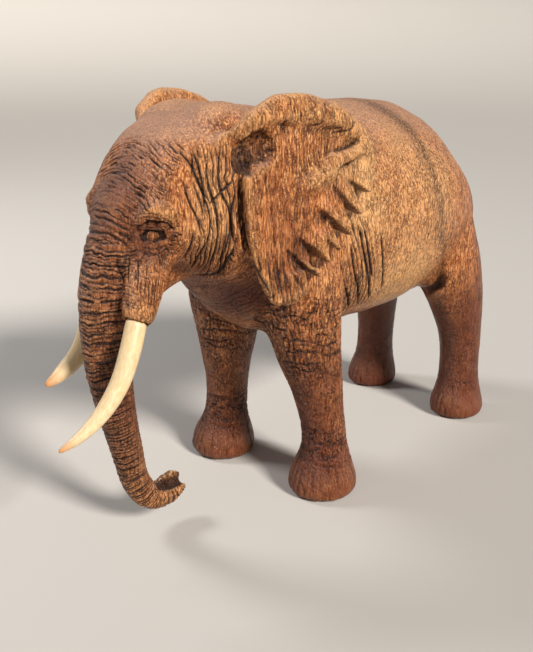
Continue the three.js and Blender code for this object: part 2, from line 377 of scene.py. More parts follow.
EAR_WELT = [(26.8, -45, 90.6), (27.4, -40.6, 91.2), (27.6, -36, 91.8)]
EAR_FRONT_EDGE = [
    (20.2, -68.6, 89.6), (19.8, -68.4, 84), (19.6, -68.0, 78), (20, -67.0, 73), (21.2, -65.6, 68.6),
]
EAR_SLOT = [(19.2, -67.2, 89), (18.9, -66.8, 84), (18.7, -66.2, 78), (19, -65.2, 73), (20.2, -64.0, 69)]


def carve_ear(wood, side):
    """The rolled top, the hollow before the ear's root, and the pleats that end in notches."""
    wood.tube(on_ear(EAR_TOP_RIM, side), [0.5, 0.9, 1.2, 1.2, 0.9, 0.5], blend=3.0)
    wood.tube(on_ear(EAR_LOBE, side), [1.0, 2.1, 2.5, 1.8], blend=2.0)
    for spot, radii, turn in LOBE_KNOBS:
        wood.ball(on_ear(spot, side), radii, blend=0.8, turn=turn)
    for spot, radii, _ in EAR_HOLLOW:
        wood.ball(on_ear(spot, side), radii, blend=1.1, dig=True, turn=-20)
    wood.tube(on_ear(EAR_BROW, side), [0.9, 1.3, 1.2, 0.8], blend=2.2)
    wood.ball(on_ear(EAR_ROOT_KNOB, side), (1.6, 2.4, 2.8), blend=1.6)
    wood.ball(on_ear(EAR_UPPER_DISH, side), (3.0, 8, 3.8), blend=1.4, dig=True, turn=8)
    wood.tube(on_ear(EAR_CREASE, side), [0.4, 0.6, 0.7, 0.3], blend=0.9, dig=True)
    wood.tube(on_ear(EAR_CREASE_LOW, side), [0.4, 0.9, 0.5], blend=0.7, dig=True)
    wood.tube(on_ear(EAR_BAND, side), [0.9, 1.7, 1.3], blend=3.0)
    wood.tube(on_ear(EAR_WELT, side), [0.7, 1.3, 0.9], blend=1.3)
    wood.ball(on_ear(EAR_LOWER_DISH, side), (1.6, 5, 6.5), blend=2.4, dig=True, turn=12)
    wood.tube(on_ear(EAR_FRONT_EDGE, side), [0.8, 1.0, 1.0, 1.0, 0.7], blend=0.3, dig=True)
    wood.tube(on_ear(EAR_SLOT, side), [0.5, 0.9, 1.0, 1.0, 0.8], blend=0.3, dig=True)
    for pleat in EAR_PLEATS:
        step_pleat(wood, on_ear(pleat, side), side)
        wood.tube(on_ear(pleat[1:], side), [0.25, 0.6, 1.2], blend=0.3, dig=True)


def along_pleat(line, y, z):
    """How far along a pleat a place is, from 0 to 1, and how many millimetres on its lower side."""
    start, end = line[0], line[2]
    run = (end - start)[1:]
    length = np.linalg.norm(run)
    run = run / length
    along = ((y - start[1]) * run[0] + (z - start[2]) * run[1]) / length
    below = (y - start[1]) * run[1] - (z - start[2]) * run[0]
    return along, below


def step_pleat(wood, line, side):
    """Lowers the ear on the lower side of a pleat: a steep wall at the line, then a slope back up."""
    margin = PLEAT_WIDTH + 1.2
    slices, (x, y, z) = wood.window(line.min(0) - margin, line.max(0) + margin)
    along, below = along_pleat(line, y, z)
    depth = PLEAT_DEPTH * smooth(-0.1, 1.0, along) * smooth(1.9, 1.3, along)
    profile = np.where(below > 0, np.clip(1 - below / PLEAT_WIDTH, 0, 1), bell(below, 0.3))
    outside = smooth(22.5, 24.5, x * side)
    wood.values[slices] += (depth * profile * outside).astype(np.float32)


# Soft dents of the head's side (swellings, below 0), each with its centre, reach and depth.
EYE_DENTS = [((11.6, -85.6, 76.6), 2.9, 1.1), ((6.6, -89.6, 77), 2.4, 0.7)]
CHEEK_DENTS = [
    ((16.4, -78.5, 88.5), 4.5, 0.9),  # the temple
    ((16.2, -75.5, 76), 4.5, -0.9),  # the cheek bone
    ((14.5, -77, 69), 4, 1.0),  # under the cheek bone
]
EYE_BROW = [(8.4, -86.2, 80.2), (10.6, -84.6, 82), (13, -82.2, 81.4)]
# The tusks' sheaths differ, so each side has its own.
SHEATHS = {1: [(8.8, -85.6, 68.5), (11.5, -90.0, 61.4)], -1: [(-8.2, -84.4, 68.5), (-9.2, -87.0, 60.6)]}
FURROW = [(7.2, -89.4, 76), (6.6, -91, 72.2), (7.2, -91.4, 68.8), (8.0, -93.2, 65.4), (7.8, -94.6, 61.8)]
LOWER_JAW = [(9.5, -80.5, 62.6), (7.5, -76.5, 64.6), (6.5, -72.5, 66.2)]
GROIN = [(24.6, 10.5, 62), (21.8, 15.6, 54), (18, 19.4, 47), (12, 20.5, 43)]
# The open channel at the trunk's tip, and the lip on its far side.
FAR_LIP = [(-1.7, -78, 9.4), (-1.8, -75.4, 10.6), (-1.7, -72.8, 11.0), (-1.4, -70.8, 10.6)]
CHANNEL = [
    (0.8, -79.2, 12.0), (0.8, -76.4, 11.0), (0.7, -73.4, 10.7), (0.6, -70.2, 10.6), (0.6, -67.6, 10.6),
]
REAR_CLEFT = [(0, 52.4, 56), (0, 49, 50), (0, 44.6, 45)]


def carve_face(wood, side):
    """The eye's socket under its brow, the tusk's sheath, the furrow from eye to tusk, cheek and jaw."""
    for spot, reach, depth in EYE_DENTS:
        wood.push(on_side(spot, side), reach, depth)
    wood.tube(on_side(EYE_BROW, side), [0.4, 0.7, 0.5], blend=2.8)
    wood.tube(SHEATHS[side], [4.4, 3.5], blend=1.6)
    wood.tube(on_side(FURROW, side), [0.4, 0.8, 0.9, 0.7], blend=0.7, dig=True)
    for spot, reach, depth in CHEEK_DENTS:
        wood.push(on_side(spot, side), reach, depth)
    wood.tube(on_side(LOWER_JAW, side), [0.5, 0.8, 0.6], blend=0.5, dig=True)


def carve_groin(wood, side):
    """The fold where a thigh meets the belly."""
    wood.tube(on_side(GROIN, side), [0.5, 1.0, 1.3, 1.0], blend=1.8, dig=True)


def carve_nostrils(wood):
    """The open channel on the upper side of the curled tip, with its far lip."""
    wood.tube(FAR_LIP, [0.9, 1.3, 1.2, 0.8], blend=1.6)
    wood.tube(CHANNEL, [0.4, 1.3, 1.7, 1.6, 1.4], blend=0.3, dig=True)


SOFT_BLUR, SOFT_SWELL = 1.35, 0.1  # how far the masses run together, and what that is grown by
CRISP_BLUR, CRISP_SWELL = 0.62, 0.05  # the same for the thin ears and the trunk's tip
OPEN_BLUR = 1.6  # the blur that tells hollows from ridges
GLUE_GAP = 0.2


def rough_out():
    """The CAD body with its masses run together, and the main forms carved."""
    wood = Block("body", FINE_STEP)
    soft, crisp = wood.blurred(SOFT_BLUR), wood.blurred(CRISP_BLUR)
    x, y, z = np.meshgrid(*wood.axes(), indexing="ij", sparse=True)
    ears = smooth(19.5, 21.5, np.abs(x)) * smooth(-27, -30, y) * smooth(57, 60, z)
    trunk_tip = smooth(-66, -69, y) * smooth(20, 14, z)
    thin = np.maximum(ears, trunk_tip)
    wood.values = (soft - SOFT_SWELL) * (1 - thin) + (crisp - CRISP_SWELL) * thin
    for side in SIDES:
        carve_ear(wood, side)
        carve_face(wood, side)
        carve_groin(wood, side)
    carve_nostrils(wood)
    wood.tube(REAR_CLEFT, [0.3, 1.1, 1.5], blend=1.5, dig=True)
    wood.soft = wood.blurred(OPEN_BLUR)
    for tusk in ("tusk_left", "tusk_right"):
        clear_socket(wood, tusk)
    wood.values = np.maximum(wood.values, -z).astype(np.float32)
    return wood


def clear_socket(wood, tusk):
    """Takes a tusk and a thin gap round it out of the wood."""
    peg = Block(tusk, FINE_STEP)
    low = peg.first * peg.step
    high = (peg.first + np.array(peg.values.shape) - 1) * peg.step
    slices, (x, y, z) = wood.window(low, high + 0.5 * peg.step)
    shape = np.broadcast_shapes(x.shape, y.shape, z.shape)
    points = np.stack([np.broadcast_to(c, shape).ravel() for c in (x, y, z)], 1)
    gap = peg.sample(points).reshape(shape) - GLUE_GAP
    wood.values[slices] = np.maximum(wood.values[slices], -gap)


# --- The mesh and the knife ---


def refine(points, quads, loose, chosen):
    """Splits each chosen quad in four. A neighbour takes the new points as corners, and goes to loose."""
    count = len(points)
    ahead = np.roll(quads, -1, axis=1)
    key = np.minimum(quads, ahead) * count + np.maximum(quads, ahead)
    split = np.unique(key[chosen])
    middle = (points[split // count] + points[split % count]) / 2
    place = np.minimum(np.searchsorted(split, key), len(split) - 1)
    halved = split[place] == key
    corners = quads[chosen]
    centres = points[corners].mean(1)
    new_mid = count + place[chosen]
    new_centre = (count + len(split) + np.arange(len(corners)))[:, None]
    pieces = [
        np.hstack([corners[:, [k]], new_mid[:, [k]], new_centre, new_mid[:, [k - 1]]]) for k in range(4)
    ]
    beside = ~chosen & halved.any(1)
    for corner, mid, cut in zip(quads[beside], count + place[beside], halved[beside]):
        face = []
        for k in range(4):
            face.append(int(corner[k]))
            if cut[k]:
                face.append(int(mid[k]))
        loose.append(face)
    quads = np.vstack([quads[~chosen & ~beside], *pieces])
    return np.vstack([points, middle, centres]), quads


class Skin:
    """The mesh's points, with how deep each is carved, and how dark or pale each is: the wood's own colour,
    dark oil in cuts, and painted light and shade.
    """

    def __init__(self, wood, points):
        self.wood = wood
        self.points = points
        slope = wood.slope(points)
        self.normals = slope / np.linalg.norm(slope, axis=1)[:, None]
        self.depth = np.zeros(len(points))
        self.stain = np.zeros(len(points))
        self.tone = np.zeros(len(points))
        self.x, self.y, self.z = points.T

    def carve(self, strength, depth, stain=1.0):
        """Sinks the surface by depth where strength is 1, and darkens it there."""
        self.depth += strength * depth
        self.stain = np.maximum(self.stain, strength * stain)

    def score(self, knife, area, across, along, share=1.0, reseed=0):
        """Knife lines of one kind over an area, at a share of their depth; reseed gives other lines."""
        lines = grooves(knife.seed + reseed, across, along, *knife[1:6]) * area
        self.carve(lines, knife.depth * share, knife.stain * share)
        return lines

    def stroke(self, line, width, depth, stain=1.0, fade=0.25):
        """One cut of the knife along a line near the surface, thin at its two ends."""
        line = self.wood.settle(curve_through(line, 14), rounds=3)
        reach = 3 * width
        inside = (self.points > line.min(0) - reach) & (self.points < line.max(0) + reach)
        near = np.flatnonzero(inside.all(1))
        if not len(near):
            return
        here = self.points[near]
        best = np.full(len(near), 1e9)
        where = np.zeros(len(near))
        for i, (a, b) in enumerate(zip(line[:-1], line[1:])):
            run = b - a
            share = np.clip((here - a) @ run / (run @ run + 1e-12), 0, 1)
            gap = np.linalg.norm(here - a - share[:, None] * run, axis=1)
            closer = gap < best
            best[closer] = gap[closer]
            where[closer] = (i + share[closer]) / (len(line) - 1)
        ends = smooth(0, fade, where) * smooth(1, 1 - fade, where) if fade else 1.0
        ends = 0.25 + 0.75 * ends
        strength = bell(best, width * ends) * ends
        self.depth[near] += strength * depth
        self.stain[near] = np.maximum(self.stain[near], strength * stain)


# --- Wrinkles ---

TRUNK_AXIS = [
    (0, -72, 84), (0, -79.5, 78), (0, -84.5, 70.5), (0, -88.4, 62.5), (0, -90.3, 54.5), (0, -90.6, 46),
    (0, -89.6, 38), (0, -88.2, 30), (0, -86.6, 22), (0, -84.6, 14.5), (0, -80.6, 9), (0, -75.4, 7.9),
    (0, -71.2, 9.8),
]
AXIS_STEP = 0.63  # about how far apart the 160 points of that axis are
RING_PLACES = [0, 30, 60, 95]  # along the trunk from its root
RING_SPACING = [2.3, 2.15, 1.75, 1.4]
RING_DEPTH = [0.5, 0.6, 0.42, 0.26]


def wrinkle_trunk(skin):
    """Deep rings round the front of the trunk, finer and closer towards the tip."""
    axis = curve_through(TRUNK_AXIS, 160)
    travelled = np.concatenate([[0], np.cumsum(np.linalg.norm(np.diff(axis, axis=0), axis=1))])
    near = np.flatnonzero((skin.y < -66) & (np.abs(skin.x) < 12) & (skin.z < 90))
    here, normals = skin.points[near], skin.normals[near]
    x, _, z = here.T
    gaps = ((here[:, None, :] - axis[None, :, :]) ** 2).sum(2)
    nearest = gaps.argmin(1)
    past = ((here - axis[nearest]) * np.gradient(axis, axis=0)[nearest]).sum(1)
    arc = travelled[nearest] + past / AXIS_STEP
    away = np.sqrt(gaps[np.arange(len(near)), nearest])
    trunk = smooth(14, 20, arc) * smooth(13, 9, away) * smooth(9.8, 7.8, np.abs(x))
    front = smooth(0.55, -0.35, normals[:, 1])
    front = np.where(z < 16, np.maximum(front, smooth(0.6, -0.2, normals[:, 2])), front)

    slack = noise(3, arc / 5, x / 4) + 0.6 * noise(4, arc / 1.6, x / 1.3)
    bent = arc + 0.035 * x**2 + slack + 0.22 * noise(8, arc / 0.7, x / 0.6)
    counted = np.cumsum(np.diff(travelled) / np.interp(travelled[1:], RING_PLACES, RING_SPACING))
    turns = np.interp(arc, travelled, np.concatenate([[0], counted]))
    lane = turns + (bent - arc) / np.interp(arc, RING_PLACES, RING_SPACING)
    row = np.floor(lane)
    off = lane - row - 0.5
    dice = lattice(5, row)
    broken = smooth(0.08, 0.34, noise(6, x / 2.6 + 30 * dice, row))
    ring = bell(off, 0.085 + 0.07 * dice) * broken * trunk
    deep = np.interp(arc, [15, *RING_PLACES[1:]], RING_DEPTH) * (0.4 + 0.6 * front)
    swell = np.cos(2 * np.pi * off) * trunk * deep * 0.28
    fine = grooves(7, bent, x + 0.3 * arc, 0.8, 2.4, width=0.2, cover=0.8, wander=0.6) * trunk
    finer = grooves(9, bent - 0.2, x, 0.5, 1.6, width=0.24, cover=0.6, wander=0.6) * trunk
    skin.depth[near] += ring * deep + (0.2 * fine + 0.08 * finer) * (0.5 + 0.5 * front)
    skin.depth[near] -= swell + 0.1 * trunk
    dark = np.maximum(ring * (0.5 + 0.5 * front), (0.75 * fine + 0.35 * finer) * (0.45 + 0.55 * front))
    skin.stain[near] = np.maximum(skin.stain[near], dark)
    smooth_channel(skin, near)


def smooth_channel(skin, near):
    """Leaves the open channel at the trunk's tip plain, with painted shade inside it."""
    scoop = np.zeros(len(near))
    for spot in curve_through(CHANNEL, 12):
        gap = np.linalg.norm(skin.points[near] - spot, axis=1)
        scoop = np.maximum(scoop, smooth(2.3, 1.7, gap) * smooth(-0.4, 0.1, skin.normals[near, 2]))
    skin.depth[near] *= 1 - scoop
    stain = skin.stain[near]
    skin.stain[near] = np.where(scoop > 0, np.maximum(stain * (1 - scoop), 0.8 * scoop), stain)


# A kind of knife line, as grooves and carve take it: lengths in millimetres, the rest shares of 1.
Knife = namedtuple("Knife", "seed spacing length width cover wander depth stain")

FOREHEAD_ARCHES = Knife(11, 0.98, 2.0, 0.15, 0.6, 0.4, 0.34, 0.95)
FOREHEAD_SHORT = Knife(33, 0.8, 1.4, 0.17, 0.5, 0.35, 0.2, 0.7)
FOREHEAD_FINE = Knife(12, 0.52, 1.4, 0.22, 0.55, 0.6, 0.12, 0.45)
BRIDGE_FOLDS = Knife(13, 1.35, 3.6, 0.15, 0.75, 1.0, 0.4, 0.85)
BRIDGE_FINE = Knife(15, 0.6, 2.2, 0.2, 0.6, 1.0, 0.12, 0.5)


def wrinkle_forehead(skin):
    """Short fine lines that arch over the forehead, and level folds on the bridge between the eyes."""
    x, y, z = skin.points.T
    ax = np.abs(x)
    area = smooth(-75.4, -77, y + 0.16 * (z - 88) - 1.2) * band(z, 80, 83, 94, 97.5)
    area *= smooth(13.2, 11.6, ax + 0.45 * np.maximum(86 - z, 0))
    area *= 0.4 + 0.6 * smooth(0.34, 0.56, noise(38, x / 3.2, z / 3.2, y / 3.2))
    arch = z + 0.66 * np.sqrt(ax**2 + 40) + 0.3 * noise(10, x / 1.1, z / 1.1, y / 2)
    skin.score(FOREHEAD_ARCHES, area, arch, x)
    skin.score(FOREHEAD_SHORT, area, arch + 0.1 * x, x)
    skin.score(FOREHEAD_FINE, area, arch + 0.4, x)
    bridge = smooth(-84.5, -87, y) * band(z, 74, 76, 82, 84.5) * smooth(8.5, 6, ax)
    level = z + 0.05 * ax**2 + 0.5 * noise(14, x / 1.2, z, y / 2)
    skin.score(BRIDGE_FOLDS, bridge, level, x)
    skin.score(BRIDGE_FINE, bridge, level, x)


EYE = (10.9, -85.0, 76.6)
EYE_FORWARD = (0.69, 0.71, 0.10)  # from the inner corner of the eye to the outer one
EYE_REACH = 8.5  # how far from its middle the eye's folds go
EYE_BALL = (1.4, 1.15)  # half the width and half the height of what shows of it
EYE_OPENING = (2.75, 1.45, 1.2)  # half its width, and its height above and below the middle
EYE_BAGS = ((2.4, 0.6), (3.2, 0.8), (4.2, 0.5))  # each fold's drop below the eye, and its strength


def eye_axes(skin, side):
    """The middle of an eye on the surface, and the directions along and up over the skin there."""
    centre = skin.wood.settle(on_side([EYE], side), rounds=4)
    normal = skin.wood.slope(centre, skin.wood.soft)[0]
    normal /= np.linalg.norm(normal)
    along = np.array(EYE_FORWARD) * [side, 1, 1]
    along -= normal * (along @ normal)
    along /= np.linalg.norm(along)
    up = np.cross(normal, along) * side
    return centre[0], along, up * np.sign(up[2])


def carve_eye(skin, side):
    """The eyeball between its lids, in a nest of folds."""
    centre, along, up = eye_axes(skin, side)
    offset = skin.points - centre
    near = np.flatnonzero((offset**2).sum(1) < EYE_REACH**2)
    a, b = offset[near] @ along, offset[near] @ up
    rough = [noise(seed, a / 1.1 + 50, b / 1.1 + 50) - 0.5 for seed in (16, 17)]
    away = np.sqrt(a**2 + b**2)
    seat = smooth(5.2, 3.4, away)
    ball = np.sqrt(np.maximum(1 - (((a + 0.15) / EYE_BALL[0]) ** 2 + (b / EYE_BALL[1]) ** 2), 0))
    a, b = a + 0.9 * rough[0], b + 0.75 * rough[1]
    droop = b + 0.09 * a + 0.02 * a**2
    half_width, above, below = EYE_OPENING
    almond = np.sqrt((a / half_width) ** 2 + (droop / np.where(b > 0, above, below)) ** 2)
    inside = smooth(1.08, 0.92, almond)
    upper_lid = bell(droop - 2.0, 0.42) * smooth(3.8, 2.4, np.abs(a))
    lower_lid = bell(droop + 1.75, 0.35) * smooth(3.2, 2.0, np.abs(a))

    arch = b - 3.3 + 0.12 * (a - 0.3) ** 2
    brow_fold = bell(arch, 0.36) * band(a, -3.9, -2.2, 3.8, 4.9)
    lid_fold = 0.6 * bell(arch + 0.95, 0.16) * band(a, -3.2, -2.0, 2.8, 3.8)
    bag = np.zeros(len(near))
    for drop, strength in EYE_BAGS:
        line = bell(droop + drop - 0.05 * a**2, 0.2)
        bag = np.maximum(bag, line * strength * smooth(3.8, 2.2, np.abs(a - 0.2)))
    hatch = grooves(18, np.arctan2(b, a) * 5.5 + away * 0.25, away, 0.85, 1.6, width=0.2, cover=0.6)
    hatch *= band(away, 3.1, 3.7, 5.4, 7.4) * smooth(3.6, 1.8, b)
    arches = grooves(19, away + 0.3 * rough[0], a, 0.8, 2.4, width=0.18, cover=0.65)
    arches *= band(away, 3.4, 4.2, 6.2, 7.4) * smooth(1.6, 2.6, b)
    creases = grooves(34, b + 0.5 * rough[0], a, 0.62, 1.5, width=0.2, cover=0.7)
    creases *= smooth(7, 4.5, away) * (1 - smooth(1.25, 1.0, almond))

    height = (0.6 * ball - 0.5) * inside + 0.35 * upper_lid + 0.2 * lower_lid
    height += 0.3 * (noise(35, a / 0.7, b / 0.6) - 0.5) * smooth(7, 4, away) - 0.16 * creases
    height -= 0.85 * brow_fold + 0.3 * lid_fold + 0.36 * bag + 0.24 * hatch + 0.2 * arches
    skin.depth[near] = skin.depth[near] * (1 - seat) - height

    # The rim and corners of the opening and the folds round the eye are darkened: painted shade in the
    # creases.
    rim = bell(almond - 0.96, 0.15) * (0.25 + 0.6 * smooth(1.0, 2.2, np.abs(a)))
    corner = inside * (0.8 - 0.62 * smooth(0.1, 0.7, ball))
    folds = [brow_fold, lid_fold, bag, 0.9 * hatch, 0.7 * arches, 0.75 * creases]
    dark = np.maximum.reduce([0.9 * rim, corner, *folds])
    dark *= 0.55 + 0.6 * noise(40, a / 0.8 + 50, b / 0.6 + 50)
    skin.stain[near] = np.maximum(skin.stain[near] * (1 - seat), dark)
    # painted shade in the socket round the eye, off the ball
    skin.tone[near] -= 0.2 * smooth(7, 3.5, away) * (ball < 0.2)


# The fold that leads the cheek's others: heights, and how far back it is at each.
CHEEK_LINE = [62, 66, 71, 76, 82, 88, 96, 100], [-66, -68, -70, -71.2, -72.2, -73.2, -71.5, -70]
CHEEK_CLOSENESS = [62, 66, 72, 80, 100], [0.42, 0.5, 0.75, 1.0, 1.0]  # heights, and a share of the spacing
CHEEK_FOLDS = Knife(23, 1.3, 7, 0.13, 0.8, 0.9, 0.42, 0.85)
CHEEK_FINE = Knife(27, 0.72, 2.8, 0.18, 0.66, 0.8, 0.2, 0.65)


def wrinkle_cheek(skin, side):
    """Long flowing folds from the temple down to the corner of the jaw."""
    x, y, z = skin.points.T
    across = (y - np.interp(z, *CHEEK_LINE)) / np.interp(z, *CHEEK_CLOSENESS)
    area = smooth(-77.4, -75.8, y + 0.16 * np.maximum(z - 88, 0)) * smooth(-65.6, -66.6, y)
    area *= band(across, -10.5, -9, 4.6, 5.6) * band(z, 63.5, 65.5, 92, 96.5)
    area *= smooth(6, 9, np.abs(x)) * (x * side > 0)
    across = across + 0.7 * noise(20, z / 5, y / 4) + 0.3 * noise(22, z / 1.4, y / 1.2)
    folds = skin.score(CHEEK_FOLDS, area, across, z, reseed=side)
    skin.depth += 0.25 * folds * smooth(86, 74, z)
    skin.score(CHEEK_FINE, area, across, z, reseed=side)


JAW_LINE = [(4, -69.2, 64.2), (10.3, -67.1, 64.9), (14.8, -67.4, 69), (17.6, -66.8, 72.6)]
CHEEK_CUTS = [
    [(10, -77.4, 94.8), (14, -76.5, 91.3), (16, -75.6, 86.6), (16.7, -73.6, 82.9)],
    [(11.9, -74.9, 95.4), (14.7, -75.2, 91.2), (16.3, -75, 85.8), (16.4, -75.2, 81)],
    [
        (13.2, -71.8, 96), (16.2, -73.9, 88.5), (17.1, -72.5, 82.1),
        (16.6, -71.7, 76.2), (13.6, -70.6, 70), (7.5, -68.4, 65.4),
    ],
    [
        (14.6, -69.7, 95.6), (17.3, -71.6, 87), (18, -69.5, 81.5),
        (17.5, -69, 75.9), (14.5, -68.8, 69.8), (9.4, -67.9, 65.6),
    ],
    [(13.4, -78.7, 90.1), (15.2, -78.3, 84), (15.6, -76.4, 79.6), (15.4, -75.6, 75)],
    [(16.7, -73.6, 82.2), (15.9, -73.9, 76.4), (12.4, -73.8, 70.7), (6, -71, 65.8)],
    [(18.3, -68.1, 87.8), (17.6, -70.9, 85.5), (16.5, -74.3, 82.6)],
    [(15.5, -77.6, 78.4), (14.6, -77.6, 73.4), (10.6, -76.2, 68.6)],
    [(18.6, -67.4, 88), (18.2, -69, 79.6), (17.6, -67.4, 72.2)],
]
FACE_CUTS = [
    [(6.3, -90.9, 73.4), (6.4, -91, 70.4), (8.6, -91.4, 66.6), (10.6, -92, 63)],
    [(7.8, -89.6, 73.6), (8.4, -89.6, 70.2), (10.2, -90.6, 66.8)],
    [(9.4, -88, 72.6), (10.4, -88.4, 69.4), (11.8, -89.8, 66)],
]
SNOUT_SLANTED = Knife(31, 0.75, 1.8, 0.19, 0.55, 0.6, 0.16, 0.55)
SNOUT_STEEP = Knife(32, 0.7, 2.4, 0.19, 0.66, 0.6, 0.24, 0.75)
THROAT_FOLDS = Knife(37, 1.6, 5, 0.17, 0.55, 1.0, 0.26, 0.65)


def wrinkle_face(skin, side):
    """The cheek's long cuts, the line of the jaw, and finer lines on the snout and the throat."""
    x, y, z = skin.points.T
    here = x * side > 0
    for cut in CHEEK_CUTS:
        skin.stroke(on_side(cut, side), width=0.27, depth=0.6)
    # the jaw's cut is darkened, which paints the shadow under the jaw
    skin.stroke(on_side(JAW_LINE, side), width=0.5, depth=0.8)
    for cut in FACE_CUTS:
        skin.stroke(on_side(cut, side), width=0.18, depth=0.32)
    snout = band(z, 62, 64, 72.5, 75.5) * smooth(-76.5, -79.5, y) * smooth(5.2, 7, np.abs(x)) * here
    skin.score(SNOUT_SLANTED, snout, 0.8 * z + 0.55 * y, z - y)
    skin.score(SNOUT_STEEP, snout, 0.9 * y - 0.35 * z, z)
    throat = band(y, -67, -65.5, -46, -40) * band(z, 46, 52, 66, 72)
    throat *= smooth(0.3, -0.2, skin.normals[:, 2]) * here
    sag = y - 0.5 * z + 1.2 * noise(36, z / 3, np.abs(x) / 3)
    skin.score(THROAT_FOLDS, throat, sag, z)


EAR_REAR_EDGE = (  # heights, and how far back the ear's edge is at each
    [58, 62, 67, 73, 79, 85, 91, 97, 101.5, 105],
    [-56, -50, -43.5, -38.5, -33.8, -29.6, -29.2, -32.6, -39.5, -50],
)
EAR_MARKS = Knife(41, 0.8, 7, 0.17, 0.66, 0.5, 0.22, 0.6)
EAR_FINE = Knife(44, 0.55, 2.5, 0.22, 0.5, 0.5, 0.12, 0.5)
EAR_FOOT_LINES = Knife(46, 1.9, 14, 0.14, 0.9, 0.6, 0.55, 0.85)
EAR_FOOT_CUTS = [  # each with its width and depth
    ([(24.6, -62.1, 69.6), (25.4, -60.8, 60.6)], 0.45, 0.75),
    ([(25.6, -59.1, 69.6), (26, -59.3, 60.4)], 0.4, 0.65),
    ([(26.4, -57.1, 67.4), (27, -54.5, 61)], 0.4, 0.7),
]
EAR_FOLDS = [
    [(26.2, -47, 92.6), (26.6, -42, 92.8), (26.9, -37.5, 93.8), (26.6, -34.8, 95.6)],
    [(26.9, -46, 88.6), (27.4, -41, 89), (27.6, -36.4, 90)],
    [(26.2, -37.4, 100.2), (26.8, -40.6, 97.4), (26.4, -46.5, 95.9)],
    [(25.2, -46.8, 102.6), (25.6, -48.8, 100), (25.4, -51.6, 98.2)],
    [(23.4, -59.8, 101.6), (24, -58.8, 98.6), (24.6, -57.4, 96.2)],
]
SLOT_END = [(20.2, -65.8, 70.4), (21.6, -64.8, 67), (23.2, -63.4, 63.8), (24.2, -62.2, 61)]
EAR_PATCH = (26, -51, 87.4)  # the middle of a crackled patch


def wrinkle_ear(skin, side):
    """Fine tool marks down the face of the ear, cuts at its foot, and the folds of its rear edge."""
    x, y, z = skin.points.T
    back = y - EAR_SETBACK[side]
    face = smooth(20.5, 22.5, x * side) * smooth(0.1, 0.5, skin.normals[:, 0] * side)
    past_edge = back - np.interp(z, *EAR_REAR_EDGE)
    behind = past_edge + 0.8 * (noise(39, z / 2, y / 2) - 0.5)
    # dark oil and painted shade in the recess just behind the ear's rear edge
    seam = band(behind, -0.4, 0.4, 4.0, 5.4) * band(z, 58, 62, 99, 102)
    skin.carve(seam * smooth(17, 19, x * side), 0.3, 0.6)
    area = face * band(back, -68.5, -66.5, -29.5, -27.5) * smooth(57, 60, z) * smooth(1.0, -0.5, past_edge)
    skin.score(EAR_MARKS, area, back + 0.06 * z, z, reseed=side)
    skin.score(EAR_FINE, area, back - 0.1 * z, z)
    foot = area * smooth(76, 68, z) * smooth(-52, -56, back)
    skin.score(EAR_FOOT_LINES, foot, back + 0.1 * z, z)
    for line, width, depth in EAR_FOOT_CUTS:
        skin.stroke(on_ear(line, side), width, depth, stain=0.8)
    skin.stroke(on_ear(SLOT_END, side), width=0.5, depth=0.25, stain=0.9)
    for fold in EAR_FOLDS:
        skin.stroke(on_ear(fold, side), width=0.42, depth=0.5, stain=0.75)
    for pleat in EAR_PLEATS:
        shade_pleat(skin, on_ear(pleat, side), side)
    roughen_hollow(skin, side)
    patch = np.linalg.norm((skin.points - on_ear(EAR_PATCH, side)) / [4, 6, 3], axis=1)
    crackle = cracks(49, x / 1.2, y / 1.1, z / 1.3, width=0.22)
    skin.carve(crackle * smooth(1.2, 0.7, patch) * face, 0.16, 0.5)


def shade_pleat(skin, line, side):
    """Paints shade on the wall of a pleat, from its fine start to its notch."""
    along, below = along_pleat(line, skin.y, skin.z)
    reach = np.maximum(along, 0)
    shade = smooth(-0.7, -0.3, below) * smooth(0.3 + 1.3 * reach, 0.1 + 0.3 * reach, below)
    shade *= band(along, 0.0, 0.35, 1.35, 1.65) * smooth(22, 23.5, skin.x * side)
    skin.stain = np.maximum(skin.stain, 0.55 * shade)


def roughen_hollow(skin, side):
    """Pitted wood in the hollow under the ear's rim, with painted shade in it that is darker lower down and
    to the front.
    """
    x, y, z = skin.points.T
    inside = np.zeros(len(x))
    for spot, _, oval in EAR_HOLLOW:
        away = np.linalg.norm((skin.points - on_ear(spot, side)) / oval, axis=1)
        inside = np.maximum(inside, smooth(1.2, 0.98, away + 0.3 * noise(50, y / 1.1, z / 1.1)))
    inside *= smooth(15.5, 17, x * side) * smooth(98.4, 97.4, z)
    pits = noise(48, y / 0.55, z / 0.65, x / 0.6)
    skin.carve(smooth(0.45, 0.7, pits) * inside, 0.3, 0.85)
    # painted shade in the hollow, darker low down and to the front
    skin.stain = np.maximum(skin.stain, inside * np.interp(z + 0.5 * y, [56, 66], [0.75, 0.45]))


BODY_CUTS = [
    [(25.6, -30.5, 73), (23.6, -27.5, 66.2), (20.6, -22, 57), (17.6, -16.8, 49.4)],
    [(26.4, -33.5, 70), (23, -30, 61.5), (20, -25, 55), (16.6, -20.4, 48.6)],
    [(26.4, -36.5, 67), (22.6, -33, 58.8), (19, -27.6, 53), (16, -23.6, 48.4)],
    [(25.2, -22.4, 70.2), (23.6, -18.6, 60), (20.4, -14.6, 52)],
    [(24.6, -28.4, 72.6), (24.4, -25.4, 65), (22, -21, 56.6)],
]
BODY_FOLDS = Knife(51, 1.5, 8, 0.15, 0.85, 1.0, 0.45, 0.85)
BODY_FINE = Knife(52, 0.75, 3, 0.2, 0.6, 1.0, 0.16, 0.6)
BARREL_CUTS = Knife(63, 1.7, 3.4, 0.16, 0.35, 1.0, 0.14, 0.5)


